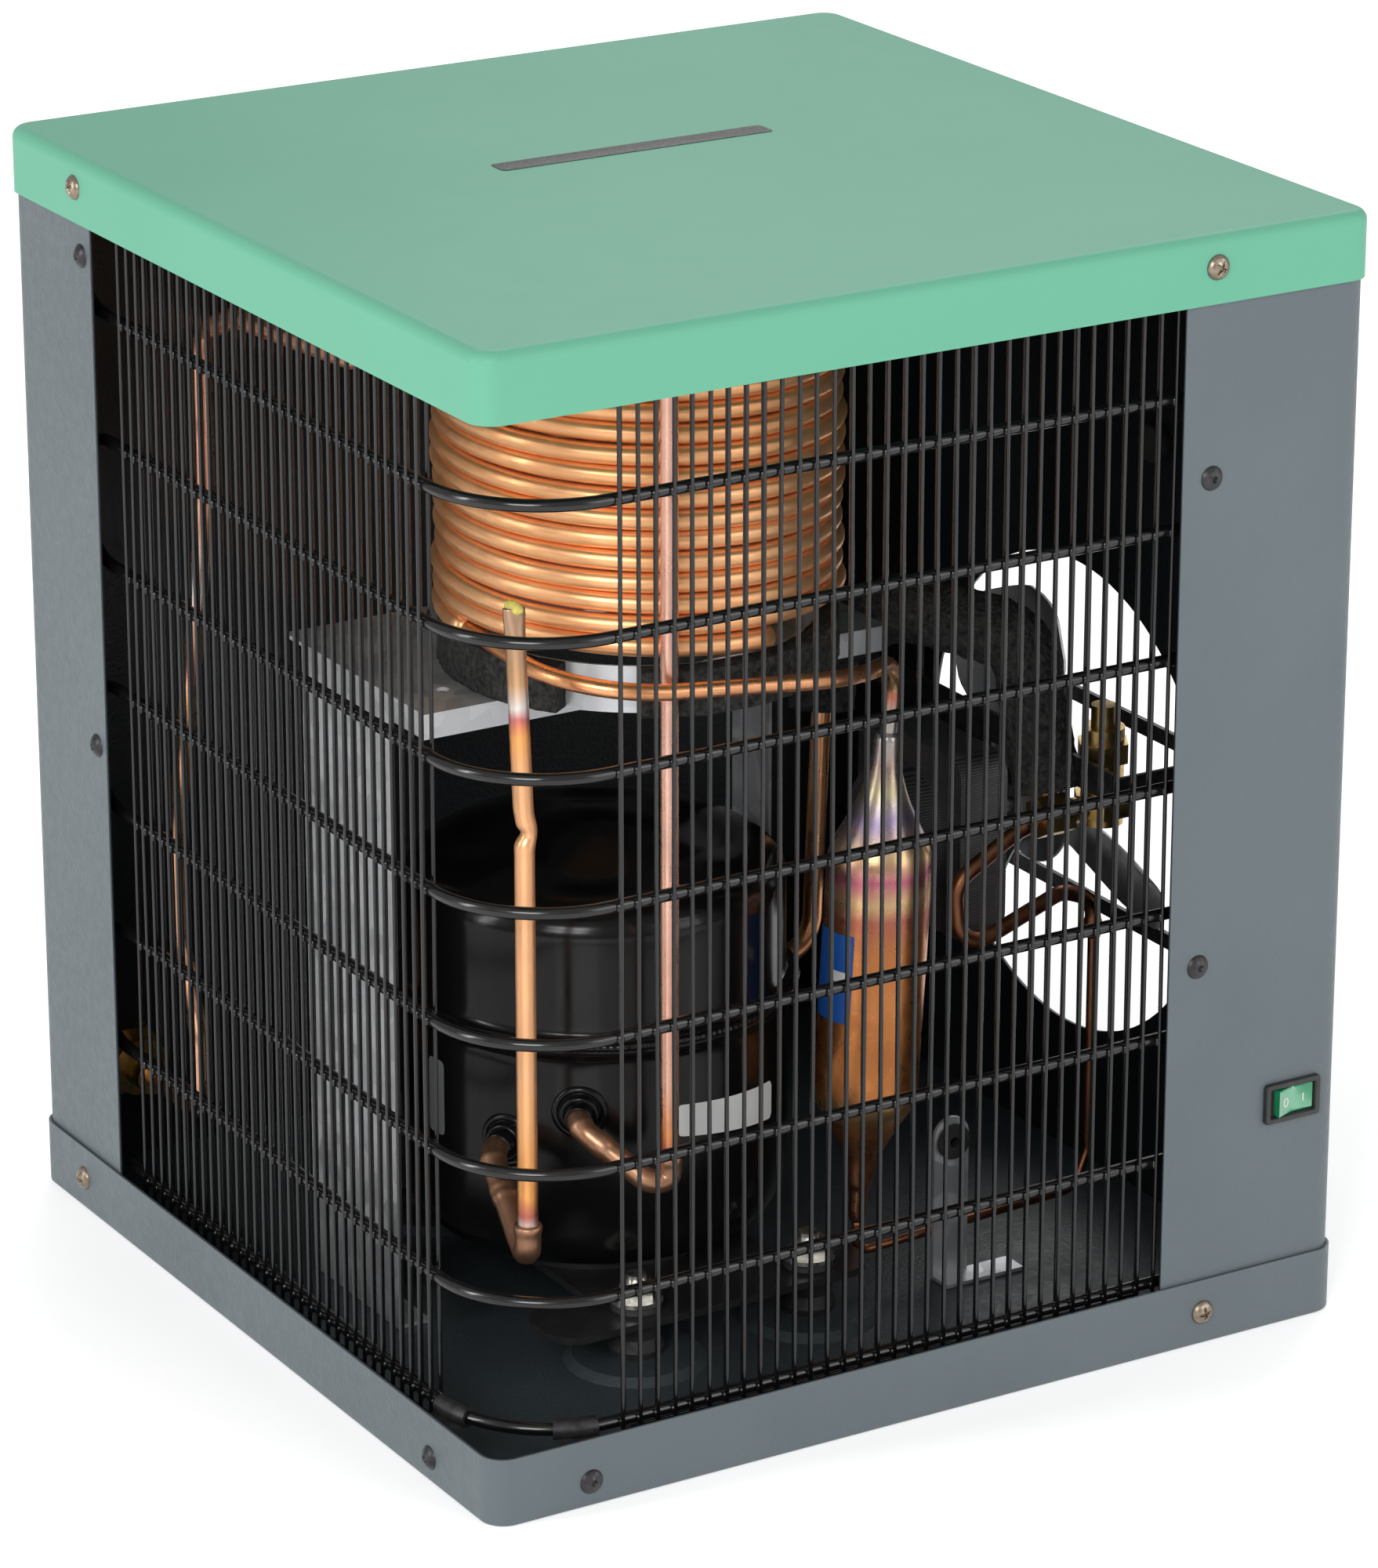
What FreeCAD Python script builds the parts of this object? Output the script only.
import FreeCAD, Part
import math
import os

# A small refrigerated compressed-air dryer built around a hermetic reciprocating compressor.
# Millimetres, +Z up, origin on the floor under the middle of the case.
# -Y is the face with the switch, -X the other face of open wire condenser, +X the fan side.

V = FreeCAD.Vector
UP = V(0, 0, 1)
ALONG_X = V(1, 0, 0)
ALONG_Y = V(0, 1, 0)

# ---- case ----
CASE_WIDTH = 380.0
CASE_HEIGHT = 445.0
HALF_CASE = CASE_WIDTH / 2
SHEET = 1.2
CORNER_RADIUS = 10.0
TRAY_HEIGHT = 27.0
TRAY_FLOOR = 1.5
COVER_SKIRT = 26.0
COVER_EDGE_RADIUS = 4.5
PANEL_GAP = 0.3
PANEL_OUTER = HALF_CASE - SHEET - PANEL_GAP
PANEL_MID = PANEL_OUTER - SHEET / 2
PANEL_INNER = PANEL_OUTER - SHEET
PANEL_BOTTOM = TRAY_FLOOR + PANEL_GAP
PANEL_TOP = CASE_HEIGHT - SHEET - PANEL_GAP
PANEL_BEND = CORNER_RADIUS - SHEET - PANEL_GAP - SHEET / 2
PANEL_SEAM_Y = 168.0
FRONT_FLANGE_EDGE = 106.0
LEFT_FLANGE_EDGE = 119.0
FAN_HEIGHT = 157.0
FAN_OPENING_RADIUS = 100.0

# ---- fasteners of the case: (face, place along the face, height) ----
SCREW_SHANK = 2.4
SCREW_HOLE = 2.6
SCREW_HEAD = 4.9
SCREW_LENGTH = 7.5
COVER_SCREW_Z = 433.0
TRAY_SCREW_Z = 13.5
COVER_SCREWS = [
    ("front", 118.0),
    ("left", 128.0),
    ("right", -120.0),
    ("right", 120.0),
    ("rear", -120.0),
    ("rear", 120.0),
]
TRAY_SCREWS = [
    ("front", 125.0),
    ("left", 150.0),
    ("right", -120.0),
    ("right", 120.0),
    ("rear", -120.0),
    ("rear", 120.0),
]
CLIP_RIVETS = [("front", -148.5), ("left", -142.0)]
CLIP_RIVET_Z = 10.0
PANEL_RIVETS = [
    ("front", 119.0, 352.0),
    ("front", 119.0, 158.0),
    ("left", 127.0, 406.0),
    ("left", 127.0, 207.0),
]

# ---- condenser ----
TUBE_RADIUS = 2.4
TUBE_LINE = 180.0
TUBE_ROWS = 9
FIRST_ROW_Z = 26.5
ROW_PITCH = 50.8
CONDENSER_CORNER = 46.0
ROW_END = 125.0
WIRE_RADIUS = 0.8
WIRE_PITCH = 7.4
WIRE_COUNT = 33
WIRE_START = -131.0
WIRE_BOTTOM = 19.0
WIRE_TOP = 438.0
WELD_GAP = 0.05

# ---- switch ----
SWITCH_X = 165.0
SWITCH_Z = 94.0
BEZEL_WIDTH = 25.7
BEZEL_HEIGHT = 16.5
BEZEL_PROUD = 2.2
ROCKER_PIVOT_Y = -186.0
ROCKER_TILT = 10.0
ROCKER_HALF_LENGTH = 9.0
ROCKER_HALF_WIDTH = 5.4
ROCKER_PIN = 1.2

# ---- compressor shell ----
COMP_X = -41.0
COMP_Y = -8.0
SHELL_RADIUS = 76.0
SHELL_WALL = 2.5
SHELL_BOTTOM = 27.0
SEAM_Z = 127.0
LID_WALL_TOP = 168.0
LID_CURVE = [
    (1.0, 0.0),
    (0.985, 6.5),
    (0.94, 11.2),
    (0.86, 14.2),
    (0.72, 15.6),
    (0.58, 16.4),
    (0.44, 19.4),
    (0.30, 23.2),
    (0.15, 25.0),
    (0.0, 25.5),
]
FOOT_CENTRE_X = -32.0
FOOT_SPACING_X = 78.0
FOOT_SPACING_Y = 165.0
FOOT_PLATE_Z = 20.0
FOOT_PLATE = 3.0
PAD_TOP = 4.5
GROMMET_RADIUS = 11.0
FOOT_BOLT = 4.0
DISCHARGE_ANGLE, DISCHARGE_Z = -124.5, 99.5
PROCESS_ANGLE, PROCESS_Z = -146.5, 85.0
SUCTION_ANGLE, SUCTION_Z = 14.0, 104.0
TERMINAL_ANGLE, TERMINAL_Z = 78.0, 84.0
STUB_RADIUS = 7.5
STUB_BORE = 4.1
TERMINAL_RADIUS = 15.0

# ---- pump inside the shell, in the shell's own frame (axis at 0, 0) ----
THROW = 8.0
ROD_LENGTH = 34.0
CRANK_REST = 75.0
BORE_RADIUS = 12.0
CYLINDER_Z = 130.0
JOURNAL = 8.0
CRANK_PIN = 6.0
OPEN_PIVOT_GAP = 0.55
WRIST_PIN = 3.5
RUNNING_GAP = 0.03
BLOCK_START = 24.0
BLOCK_END = 53.0
PLATE_THICKNESS = 2.5
HEAD_END = 64.0
STATOR_HALF = 46.0
STATOR_BOTTOM = 45.0
STATOR_TOP = 78.0
ROTOR_RADIUS = 27.65
AIR_GAP = 0.35
SPRING_PLACE = 34.0

# ---- upright tubes: place in plan ----
PROCESS_PLACE = (-127.4, -106.6)
PROCESS_TUBE = 3.85
DISCHARGE_PLACE = (-64.6, -105.3)
DISCHARGE_TUBE = 3.1

# ---- heat exchanger and its shelf ----
COIL_X = -33.0
COIL_Y = -29.0
COIL_RADIUS = 74.0
COIL_TUBE = 4.0
COIL_BOTTOM = 282.4
COIL_PITCH = 16.4
COIL_A_TURNS = 7.8
COIL_A_START = 180.0
COIL_B_TURNS = 7.278
COIL_B_START = -80.0
SHELF_TOP = 264.0
SHELF_THICKNESS = 1.5
PAD_OUTER = 77.0
PAD_INNER = 68.3
PAD_CUTS = (-144.0, -120.0)
CRADLE_RADIUS = 68.0
CRADLE_WALL = 1.2

SHELF_LEFT, SHELF_RIGHT = -138.0, 66.0
SHELF_FRONT, SHELF_BACK = -50.0, 62.0

# ---- filter drier, leaning slightly ----
DRIER_FOOT = V(36.0, -80.0, 30.6)
DRIER_HEAD = V(48.0, -80.0, 232.0)
DRIER_RADIUS = 20.6
DRIER_NECK = 4.6

# ---- ports on the rear panel: (x, height) ----
INLET_PLACE = (-152.0, 46.0)
OUTLET_PLACE = (-70.0, 396.0)
DRAIN_PLACE = (10.0, 44.0)
PORT_NECK = 12.0
PORT_BORE = 9.3
PORT_LENGTH = 22.0
DRAIN_NECK = 5.0
BARB_RADIUS = 3.2

# ---- fan ----
FAN_RADIUS = 88.0
FAN_PLANE = 170.0
FAN_BLADES = 3
FIRST_BLADE = -49.0
BLADE_PITCH = 28.0
BLADE_CHORD = 50.0
BLADE_THICKNESS = 1.2
HUB_RADIUS = 26.0
FAN_SHAFT = 3.0
MOTOR_RADIUS = 38.0
MOTOR_BACK = 98.0
MOTOR_FRONT = 146.0
STRAP_X = PANEL_INNER - 0.3
STRAP = 2.0
STRAP_HALF_HEIGHT = 3.2
POST_Y = 106.0
UPPER_STRAP_Z = 202.0
LOWER_STRAP_Z = 117.0

# ---- mains cord ----
CORD_RADIUS = 4.0
CORD_EXIT = V(203.0, -60.0, 322.0)
CORD_ROUTE = [
    (203.0, -60.0, 322.0),
    (228.0, -60.0, 322.0),
    (251.0, -60.0, 308.0),
    (264.2, -60.0, 284.5),
    (266.8, -59.0, 250.0),
    (262.0, -54.0, 211.0),
    (255.0, -47.0, 163.0),
    (247.0, -39.0, 115.0),
    (240.0, -30.0, 66.0),
    (239.0, -14.0, 24.0),
    (239.0, 12.0, 4.2),
    (240.0, 52.0, 4.0),
    (243.0, 94.0, 4.0),
    (242.0, 136.0, 4.0),
    (234.0, 174.0, 4.0),
    (212.0, 206.0, 4.0),
    (181.0, 222.0, 4.0),
    (150.0, 226.0, 4.0),
]
CORD_LENGTH = 1830.0
CORD_COIL_CENTRE = (156.7, 272.0)
CORD_COIL_INNER = 36.0
CORD_COIL_OUTER = 57.0
CORD_COIL_HEIGHT = 16.0
PLUG_PLACE = V(98.0, 238.0, 13.2)

parts = {}


# ---------------------------------------------------------------- helpers
def box(x0, x1, y0, y1, z0, z1):
    return Part.makeBox(x1 - x0, y1 - y0, z1 - z0, V(x0, y0, z0))


def cylinder(radius, start, direction, length):
    return Part.makeCylinder(radius, length, start, direction)


def rod(start, end, radius):
    return Part.makeCylinder(radius, (end - start).Length, start, end - start)


def fuse(shapes):
    return shapes[0].multiFuse(shapes[1:]).removeSplitter()


def polygon_prism(points, direction):
    wire = Part.makePolygon([V(*p) for p in points] + [V(*points[0])])
    return Part.Face(wire).extrude(direction)


def rounded_block(x0, x1, y0, y1, z0, z1, radius):
    block = box(x0, x1, y0, y1, z0, z1)
    upright = [e for e in block.Edges if abs(e.tangentAt(e.FirstParameter).z) > 0.99]
    return block.makeFillet(radius, upright)


def revolved(points, centre=V(0, 0, 0), axis=UP):
    """Turn an outline of (radius, height) points about the axis through the centre."""
    wire = Part.makePolygon([V(r, 0, h) for r, h in points] + [V(points[0][0], 0, points[0][1])])
    solid = Part.Face(wire).revolve(V(0, 0, 0), UP, 360)
    solid.Placement = FreeCAD.Placement(centre, FreeCAD.Rotation(UP, axis))
    return solid


def hexagon_prism(across, centre, direction, length):
    radius = across / math.sqrt(3)
    corners = []
    for i in range(6):
        angle = math.radians(60 * i)
        corners.append(V(radius * math.cos(angle), radius * math.sin(angle), 0))
    solid = Part.Face(Part.makePolygon(corners + [corners[0]])).extrude(V(0, 0, length))
    solid.Placement = FreeCAD.Placement(centre, FreeCAD.Rotation(UP, direction))
    return solid


def rounded_path(points, bend=None):
    """Straight runs joined by tangent arcs. With no bend given, each arc is as large as its runs allow."""
    corners = [V(*p) for p in points]
    edges, radii = [], []
    start = corners[0]
    for before, corner, after in zip(corners, corners[1:], corners[2:]):
        way_in = (corner - before).normalize()
        way_out = (after - corner).normalize()
        turn = way_in.getAngle(way_out)
        shorter = min((corner - before).Length, (after - corner).Length)
        largest = 0.45 * shorter / math.tan(turn / 2)
        radius = largest if bend is None else min(bend, 1.08 * largest)
        reach = radius * math.tan(turn / 2)
        inward = (way_out - way_in).normalize()
        centre = corner + inward * (radius / math.cos(turn / 2))
        arc_start = corner - way_in * reach
        arc_end = corner + way_out * reach
        arc_middle = centre - inward * radius
        edges.append(Part.LineSegment(start, arc_start).toShape())
        edges.append(Part.Arc(arc_start, arc_middle, arc_end).toShape())
        radii.append(radius)
        start = arc_end
    edges.append(Part.LineSegment(start, corners[-1]).toShape())
    return Part.Wire(edges), radii


def bent_tube(points, radius, bend=None):
    path, _ = rounded_path(points, bend)
    direction = V(*points[1]) - V(*points[0])
    section = Part.Wire([Part.makeCircle(radius, V(*points[0]), direction)])
    return path.makePipeShell([section], True, False)


def folded_wall(plan, z0, z1):
    """A sheet standing on edge along a plan of mid-thickness points, with bent corners."""
    path, _ = rounded_path([(x, y, z0) for x, y in plan], PANEL_BEND)
    way = (V(*plan[1], 0) - V(*plan[0], 0)).normalize()
    side = V(-way.y, way.x, 0) * (SHEET / 2)
    start = V(plan[0][0], plan[0][1], z0)
    rise = V(0, 0, z1 - z0)
    corners = [start - side, start + side, start + side + rise, start - side + rise]
    section = Part.makePolygon(corners + [corners[0]])
    return path.makePipeShell([section], True, False)


def helix_tube(radius, wire_radius, pitch, turns, centre, start_angle, left_handed):
    path = Part.Wire(Part.makeHelix(pitch, pitch * turns, radius).Edges)
    edge = path.Edges[0]
    start = edge.valueAt(edge.FirstParameter)
    section = Part.Wire([Part.makeCircle(wire_radius, start, edge.tangentAt(edge.FirstParameter))])
    tube = path.makePipeShell([section], True, True)
    if left_handed:
        tube = tube.mirror(V(0, 0, 0), ALONG_Y)
    tube.rotate(V(0, 0, 0), UP, start_angle)
    tube.translate(centre)
    return tube


def face_frame(face, along, height, outer):
    """Point on a case face and the direction that leads out of it."""
    places = {
        "front": (V(along, -outer, height), V(0, -1, 0)),
        "left": (V(-outer, along, height), V(-1, 0, 0)),
        "right": (V(outer, along, height), V(1, 0, 0)),
        "rear": (V(along, outer, height), V(0, 1, 0)),
    }
    return places[face]


def screw_holes(fasteners, height, outer):
    holes = []
    for face, along in fasteners:
        point, out = face_frame(face, along, height, outer)
        holes.append(cylinder(SCREW_HOLE, point - out * 6, out, 8))
    return holes


def pan_head_screw(face, along, height, outer):
    point, out = face_frame(face, along, height, outer)
    outline = [(0, 0), (SCREW_HEAD, 0), (SCREW_HEAD, 1.1), (SCREW_HEAD * 0.8, 2.3), (0, 3.0)]
    dome = revolved(outline, point, out)
    shank = cylinder(SCREW_SHANK, point - out * (SCREW_LENGTH - 1), out, SCREW_LENGTH)
    slots = [box(-3.0, 3.0, -0.45, 0.45, 1.6, 4.0), box(-0.45, 0.45, -3.0, 3.0, 1.6, 4.0)]
    for slot in slots:
        slot.Placement = FreeCAD.Placement(point, FreeCAD.Rotation(UP, out))
    return dome.fuse(shank).cut(slots[0].fuse(slots[1]))


def dome_rivet(face, along, height, outer):
    point, out = face_frame(face, along, height, outer)
    outline = [(0, 0), (SCREW_HEAD, 0), (SCREW_HEAD, 0.7), (SCREW_HEAD * 0.72, 2.1), (0, 2.6)]
    dome = revolved(outline, point, out)
    shank = cylinder(SCREW_SHANK, point - out * 5, out, 6)
    bore = cylinder(1.3, point - out * 3, out, 8)
    return dome.fuse(shank).cut(bore)


# ---------------------------------------------------------------- case
def base_tray():
    outer = rounded_block(-HALF_CASE, HALF_CASE, -HALF_CASE, HALF_CASE, 0, TRAY_HEIGHT, CORNER_RADIUS)
    foot_edges = [e for e in outer.Edges if e.BoundBox.ZMax < 0.01]
    outer = outer.makeFillet(1.4, foot_edges)
    inside = HALF_CASE - SHEET
    radius = CORNER_RADIUS - SHEET
    inner = rounded_block(-inside, inside, -inside, inside, TRAY_FLOOR, TRAY_HEIGHT + 1, radius)
    tray = outer.cut(inner)
    sunk = TRAY_FLOOR - 0.5
    pads = []
    for x, y in foot_places():
        pads.append(revolved([(0, sunk), (29, sunk), (25, PAD_TOP), (0, PAD_TOP)], V(x, y, 0)))
    tray = tray.multiFuse(pads)
    holes = screw_holes(TRAY_SCREWS, TRAY_SCREW_Z, HALF_CASE)
    holes += screw_holes(CLIP_RIVETS, CLIP_RIVET_Z, HALF_CASE)
    return tray.cut(holes)


def rounded_lid(half, bottom, top, corner, edge):
    """A block with rounded corners whose top edges are rounded as well."""
    lid = rounded_block(-half, half, -half, half, bottom, top, corner)
    return lid.makeFillet(edge, [e for e in lid.Edges if e.BoundBox.ZMin > top - 0.01])


def top_cover():
    low = CASE_HEIGHT - COVER_SKIRT
    outer = rounded_lid(HALF_CASE, low, CASE_HEIGHT, CORNER_RADIUS, COVER_EDGE_RADIUS)
    ceiling = CASE_HEIGHT - SHEET
    inner = rounded_lid(HALF_CASE - SHEET, low - 1, ceiling, CORNER_RADIUS - SHEET, COVER_EDGE_RADIUS - SHEET)
    return outer.cut(inner).cut(screw_holes(COVER_SCREWS, COVER_SCREW_Z, HALF_CASE))


def panel_fastener_holes(faces):
    cutters = []
    for face, along in COVER_SCREWS:
        if face in faces:
            cutters += screw_holes([(face, along)], COVER_SCREW_Z, PANEL_OUTER)
    for face, along in TRAY_SCREWS:
        if face in faces:
            cutters += screw_holes([(face, along)], TRAY_SCREW_Z, PANEL_OUTER)
    for face, along, height in PANEL_RIVETS:
        if face in faces:
            cutters += screw_holes([(face, along)], height, PANEL_OUTER)
    return cutters


def side_panel():
    top = PANEL_TOP - COVER_EDGE_RADIUS
    plan = [(FRONT_FLANGE_EDGE, -PANEL_MID), (PANEL_MID, -PANEL_MID), (PANEL_MID, PANEL_SEAM_Y)]
    panel = folded_wall(plan, PANEL_BOTTOM, top)
    cutters = panel_fastener_holes(["front", "right"])
    cutters.append(cylinder(FAN_OPENING_RADIUS, V(PANEL_INNER - 3, 0, FAN_HEIGHT), ALONG_X, 8))
    cutters.append(cylinder(6.2, V(PANEL_INNER - 3, CORD_EXIT.y, CORD_EXIT.z), ALONG_X, 8))
    half_w, half_h = 11.2, 6.9
    cutters.append(
        box(SWITCH_X - half_w, SWITCH_X + half_w, -HALF_CASE, -180, SWITCH_Z - half_h, SWITCH_Z + half_h)
    )
    for z in (UPPER_STRAP_Z, LOWER_STRAP_Z):
        for y in (-POST_Y - 8, POST_Y + 8):
            cutters.append(cylinder(2.1, V(PANEL_INNER - 3, y, z), ALONG_X, 8))
    return panel.cut(cutters)


def rear_panel():
    top = PANEL_TOP - COVER_EDGE_RADIUS
    plan = [(-PANEL_MID, LEFT_FLANGE_EDGE), (-PANEL_MID, PANEL_MID), (PANEL_MID, PANEL_MID)]
    plan.append((PANEL_MID, PANEL_SEAM_Y + PANEL_GAP))
    panel = folded_wall(plan, PANEL_BOTTOM, top)
    cutters = panel_fastener_holes(["left", "rear"])
    for x, z in (INLET_PLACE, OUTLET_PLACE):
        cutters.append(cylinder(PORT_NECK + 0.2, V(x, PANEL_INNER - 3, z), ALONG_Y, 8))
    x, z = DRAIN_PLACE
    cutters.append(cylinder(DRAIN_NECK + 0.2, V(x, PANEL_INNER - 3, z), ALONG_Y, 8))
    return panel.cut(cutters)


# ---------------------------------------------------------------- condenser
def row_height(row):
    return FIRST_ROW_Z + ROW_PITCH * row


def condenser_tube():
    """One serpentine: rows round the front corner, joined by return bends at alternate ends."""
    bend = ROW_PITCH / 2
    edges = []
    left_end = V(-TUBE_LINE, ROW_END, 0)
    right_end = V(ROW_END, -TUBE_LINE, 0)
    before = V(-TUBE_LINE, -TUBE_LINE + CONDENSER_CORNER, 0)
    after = V(-TUBE_LINE + CONDENSER_CORNER, -TUBE_LINE, 0)
    shrink = CONDENSER_CORNER * (1 - math.sqrt(0.5))
    middle = V(-TUBE_LINE + shrink, -TUBE_LINE + shrink, 0)
    for row in range(TUBE_ROWS):
        lift = V(0, 0, row_height(row))
        run = [left_end, before, middle, after, right_end]
        if row % 2:
            run.reverse()
        a, b, m, c, d = [p + lift for p in run]
        edges.append(Part.LineSegment(a, b).toShape())
        edges.append(Part.Arc(b, m, c).toShape())
        edges.append(Part.LineSegment(c, d).toShape())
        if row < TUBE_ROWS - 1:
            out = (d - c).normalize() * bend
            edges.append(Part.Arc(d, d + out + V(0, 0, bend), d + V(0, 0, ROW_PITCH)).toShape())
    path = Part.Wire(edges)
    section = Part.Wire([Part.makeCircle(TUBE_RADIUS, path.Edges[0].Vertexes[0].Point, V(0, 1, 0))])
    return path.makePipeShell([section], True, False)


def wire_grid(offset, first, count, face):
    """Vertical wires a fixed way from the case middle, held at top and bottom by a thin tie wire."""
    last = first + WIRE_PITCH * (count - 1)
    height = WIRE_TOP - WIRE_BOTTOM
    wires = []
    for i in range(count):
        along = first + WIRE_PITCH * i
        foot = V(along, -offset, WIRE_BOTTOM) if face == "front" else V(-offset, along, WIRE_BOTTOM)
        wires.append(cylinder(WIRE_RADIUS, foot, UP, height))
    for z in (WIRE_BOTTOM + 2, WIRE_TOP - 2):
        if face == "front":
            wires.append(rod(V(first, -offset, z), V(last, -offset, z), WIRE_RADIUS * 0.9))
        else:
            wires.append(rod(V(-offset, first, z), V(-offset, last, z), WIRE_RADIUS * 0.9))
    return fuse(wires)


def condenser_wires(face):
    reach = TUBE_RADIUS + WIRE_RADIUS + WELD_GAP
    outer = wire_grid(TUBE_LINE + reach, WIRE_START, WIRE_COUNT, face)
    inner = wire_grid(TUBE_LINE - reach, WIRE_START + WIRE_PITCH / 2, WIRE_COUNT - 1, face)
    return Part.makeCompound([outer, inner])


def tube_corner_sleeve(radius, middle, spread):
    """Length of round bar along the lowest tube's corner, centred a given angle round it."""
    sleeve = Part.makeTorus(CONDENSER_CORNER, radius, V(0, 0, 0), UP, -180, 180, spread)
    sleeve.rotate(V(0, 0, 0), UP, middle - spread / 2)
    corner = CONDENSER_CORNER - TUBE_LINE
    sleeve.translate(V(corner, corner, row_height(0)))
    return sleeve


def condenser_clips():
    """Two sheet clips riveted to the tray, each with a sleeve round the lowest tube."""
    clips = []
    inside = HALF_CASE - SHEET
    corner = CONDENSER_CORNER - TUBE_LINE
    for face, along in CLIP_RIVETS:
        beyond = corner - along
        sag = CONDENSER_CORNER - math.sqrt(CONDENSER_CORNER**2 - beyond**2)
        middle = -90 - math.degrees(math.asin(beyond / CONDENSER_CORNER))
        tab = box(along - 8, along + 8, -inside + 0.1, -inside + 1.3, 3.0, 23.9)
        web = box(along - 8, along + 8, -inside + 0.1, -TUBE_LINE + sag, 22.8, 23.9)
        clip = fuse([tab, web, tube_corner_sleeve(3.9, middle, 20.0)])
        clip = clip.cut(tube_corner_sleeve(TUBE_RADIUS + 0.1, middle, 26.0))
        clip = clip.cut(cylinder(SCREW_HOLE, V(along, -HALF_CASE, CLIP_RIVET_Z), ALONG_Y, 8))
        if face == "left":
            clip = clip.mirror(V(0, 0, 0), V(1, -1, 0))
        clips.append(clip)
    return Part.makeCompound(clips)


# ---------------------------------------------------------------- switch
def switch_housing():
    face = -PANEL_OUTER
    half_w, half_h = BEZEL_WIDTH / 2, BEZEL_HEIGHT / 2
    bezel = rounded_block(-half_w, half_w, -half_h, half_h, 0, BEZEL_PROUD, 1.5)
    body = box(-11.0, 11.0, -6.7, 6.7, -17.0, 0.2)
    cavity = box(-10.3, 10.3, -5.7, 5.7, -7.5, BEZEL_PROUD + 1)
    housing = bezel.fuse(body).cut(cavity)
    pivot_depth = ROCKER_PIVOT_Y - face
    housing = housing.cut(cylinder(ROCKER_PIN + 0.05, V(0, -6.4, -pivot_depth), ALONG_Y, 12.8))
    blades = [box(x - 0.4, x + 0.4, -3.0, 3.0, -27.0, -17.0) for x in (-7.0, 0.0, 7.0)]
    housing = housing.multiFuse(blades)
    housing.rotate(V(0, 0, 0), ALONG_X, 90)
    housing.translate(V(SWITCH_X, face, SWITCH_Z))
    return housing


def switch_rocker():
    reach, out, middle = ROCKER_HALF_LENGTH, -5.0, -3.4
    outline = [(-reach, out, 0), (0, middle, 0), (reach, out, 0)]
    outline += [(reach - 1.2, 0.5, 0), (0, 3.0, 0), (-reach + 1.2, 0.5, 0)]
    body = polygon_prism(outline, V(0, 0, 2 * ROCKER_HALF_WIDTH))
    body.translate(V(0, 0, -ROCKER_HALF_WIDTH))
    rocker = body.fuse(cylinder(ROCKER_PIN, V(0, 0, -6.3), UP, 12.6))
    rocker.rotate(V(0, 0, 0), UP, ROCKER_TILT)
    rocker.translate(V(SWITCH_X, ROCKER_PIVOT_Y, SWITCH_Z))
    return rocker


# ---------------------------------------------------------------- compressor shell and feet
def foot_places():
    return [
        (FOOT_CENTRE_X + sx * FOOT_SPACING_X / 2, COMP_Y + sy * FOOT_SPACING_Y / 2)
        for sx in (-1, 1)
        for sy in (-1, 1)
    ]


def in_shell(shape):
    shape.translate(V(COMP_X, COMP_Y, 0))
    return shape


def on_shell(angle, radius, z):
    a = math.radians(angle)
    return V(COMP_X + radius * math.cos(a), COMP_Y + radius * math.sin(a), z)


def shell_direction(angle):
    return V(math.cos(math.radians(angle)), math.sin(math.radians(angle)), 0)


def lower_shell():
    r, w, z0 = SHELL_RADIUS, SHELL_WALL, SHELL_BOTTOM
    outer = [(0, z0), (r - 22, z0), (r - 9, z0 + 4), (r - 2, z0 + 12), (r, z0 + 24), (r, SEAM_Z - 7)]
    outer += [(r + 3, SEAM_Z - 4), (r + 3, SEAM_Z), (r - w, SEAM_Z)]
    inner = [(r - w, z0 + 25), (r - w - 2, z0 + 14), (r - 11, z0 + 6.5), (r - 23, z0 + w), (0, z0 + w)]
    shell = revolved(outer + inner)
    in_shell(shell)
    stubs = []
    bores = []
    for angle, z in ((DISCHARGE_ANGLE, DISCHARGE_Z), (PROCESS_ANGLE, PROCESS_Z), (SUCTION_ANGLE, SUCTION_Z)):
        out = shell_direction(angle)
        stubs.append(cylinder(STUB_RADIUS, on_shell(angle, r - 1.5, z), out, 5.5))
        stubs.append(cylinder(STUB_RADIUS - 2, on_shell(angle, r - 1.5, z), out, 9.5))
        bores.append(cylinder(STUB_BORE, on_shell(angle, r - 8, z), out, 24))
    terminal_way = shell_direction(TERMINAL_ANGLE)
    bores.append(cylinder(TERMINAL_RADIUS, on_shell(TERMINAL_ANGLE, r - 8, TERMINAL_Z), terminal_way, 20))
    return shell.multiFuse(stubs).cut(bores)


def upper_shell():
    r, w = SHELL_RADIUS - 1.0, SHELL_WALL
    outer = [(r + 3.5, SEAM_Z), (r + 3.5, SEAM_Z + 2.2), (r, SEAM_Z + 3.2)]
    inner = [(r - w, SEAM_Z)]
    for share, height in LID_CURVE:
        outer.append((r * share, LID_WALL_TOP + height))
        inner.append(((r - w) * share, LID_WALL_TOP + height - w))
    inner.reverse()
    return in_shell(revolved(outer + inner))


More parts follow.
